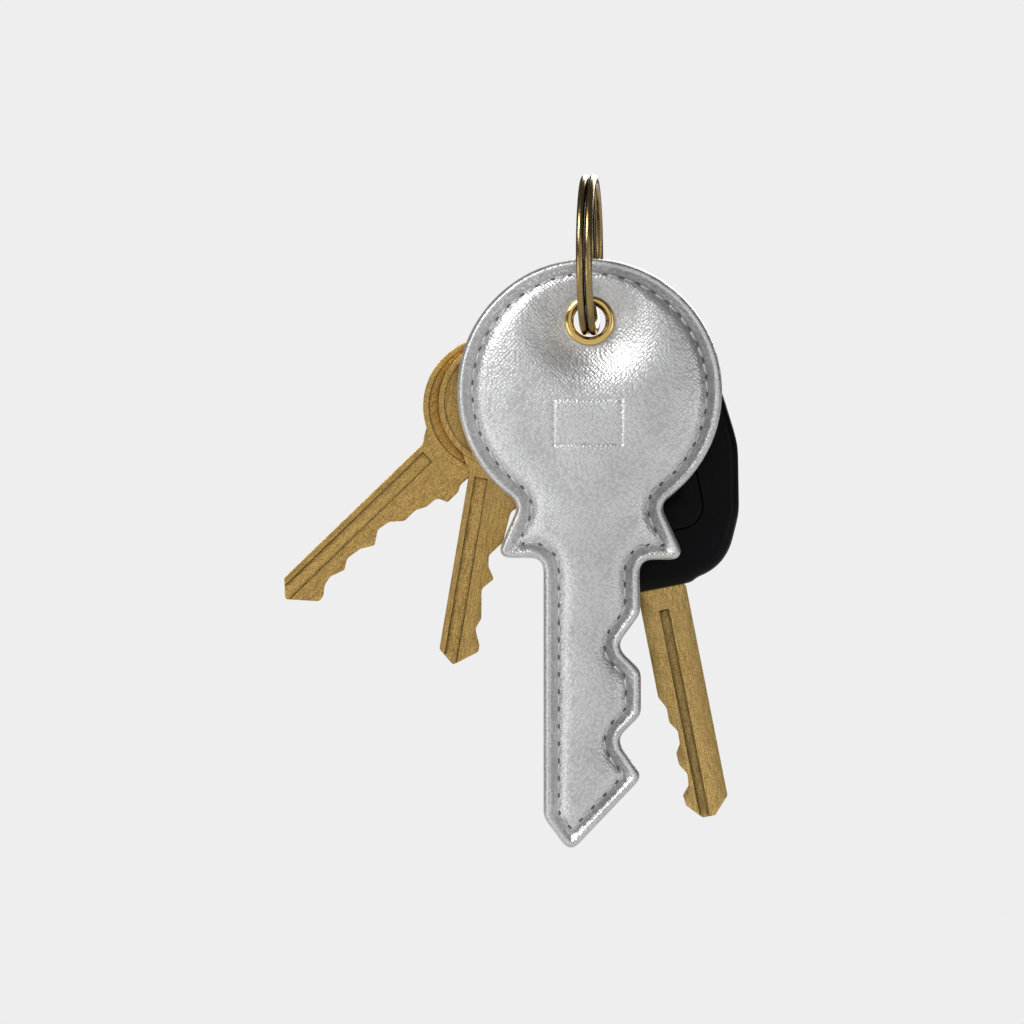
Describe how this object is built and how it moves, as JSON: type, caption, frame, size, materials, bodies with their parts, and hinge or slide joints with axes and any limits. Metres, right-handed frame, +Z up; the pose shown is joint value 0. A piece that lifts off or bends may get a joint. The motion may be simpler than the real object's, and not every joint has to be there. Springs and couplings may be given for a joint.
{
  "type": "key organiser",
  "caption": "Padded leather fob on a split ring, with house keys and a car key that turn with friction on posts behind its head.",
  "frame": {"origin": "inner top of the split ring, where a hook or a finger carries the organiser", "axes": "+Z up, against the hang of the fob; -Y is the padded front; +X is to the right as seen from the front"},
  "size_m": [0.0854, 0.0326, 0.1259],
  "materials": {
    "silver_leather": "pebbled, metallic silver coating",
    "foam": "soft",
    "stiffener_board": "bonded leather board",
    "thread": "twisted silver-grey thread",
    "eyelet_brass": "polished",
    "ring_brass": "darkened, worn",
    "post_steel": "turned",
    "cap_brass": "satin",
    "key_brass": "aged, fine speckle",
    "blade_brass": "worn",
    "black_plastic": "satin",
    "keypad_rubber": "satin",
    "board": "solder-masked",
    "cell_steel": "bright",
    "chip_case": "matt"
  },
  "bodies": {
    "ring": {"split_ring": "ring_brass"},
    "fob": {"fob_front_panel": "silver_leather", "fob_back_panel": "silver_leather", "fob_front_foam": "foam", "fob_back_foam": "foam", "fob_stiffener": "stiffener_board", "fob_edge_piping": "silver_leather", "fob_stitching": "thread", "eyelet_barrel": "eyelet_brass", "eyelet_washer": "eyelet_brass", "house_post": "post_steel", "house_post_screw": "cap_brass", "friction_washers": "post_steel", "car_post": "post_steel", "car_post_spacer": "post_steel", "car_post_screw": "cap_brass"},
    "long_key": {"house_key_long": "key_brass"},
    "short_key": {"house_key_short": "key_brass"},
    "car_key": {"car_key_blade": "blade_brass", "car_front_shell": "black_plastic", "car_rear_shell": "black_plastic", "car_keypad": "keypad_rubber", "car_circuit_board": "board", "car_coin_cell": "cell_steel", "car_transponder": "chip_case", "car_shell_screws": "post_steel"},
    "lock_button": {"lock_button": "keypad_rubber"},
    "unlock_button": {"unlock_button": "keypad_rubber"}
  },
  "joints": [
    {"name": "fob_swing", "type": "hinge", "parent": "ring", "child": "fob", "pos_m": [0, 0, -0.0255], "axis": [0, 1, 0], "range_deg": [-60, 60]},
    {"name": "long_key_turn", "type": "hinge", "parent": "fob", "child": "long_key", "pos_m": [-0.016, 0.00665, -0.0393], "axis": [0, 1, 0], "range_deg": [-70, 60]},
    {"name": "short_key_turn", "type": "hinge", "parent": "fob", "child": "short_key", "pos_m": [-0.016, 0.00415, -0.0393], "axis": [0, 1, 0], "range_deg": [-34, 70]},
    {"name": "car_key_turn", "type": "hinge", "parent": "fob", "child": "car_key", "pos_m": [0.0059, 0.01275, -0.0365], "axis": [0, 1, 0], "range_deg": [-45, 40]},
    {"name": "lock_press", "type": "slide", "parent": "car_key", "child": "lock_button", "axis": [0, 1, 0], "range_m": [0, 0.0004], "stiffness_N_per_m": 800},
    {"name": "unlock_press", "type": "slide", "parent": "car_key", "child": "unlock_button", "axis": [0, 1, 0], "range_m": [0, 0.0004], "stiffness_N_per_m": 800}
  ]
}
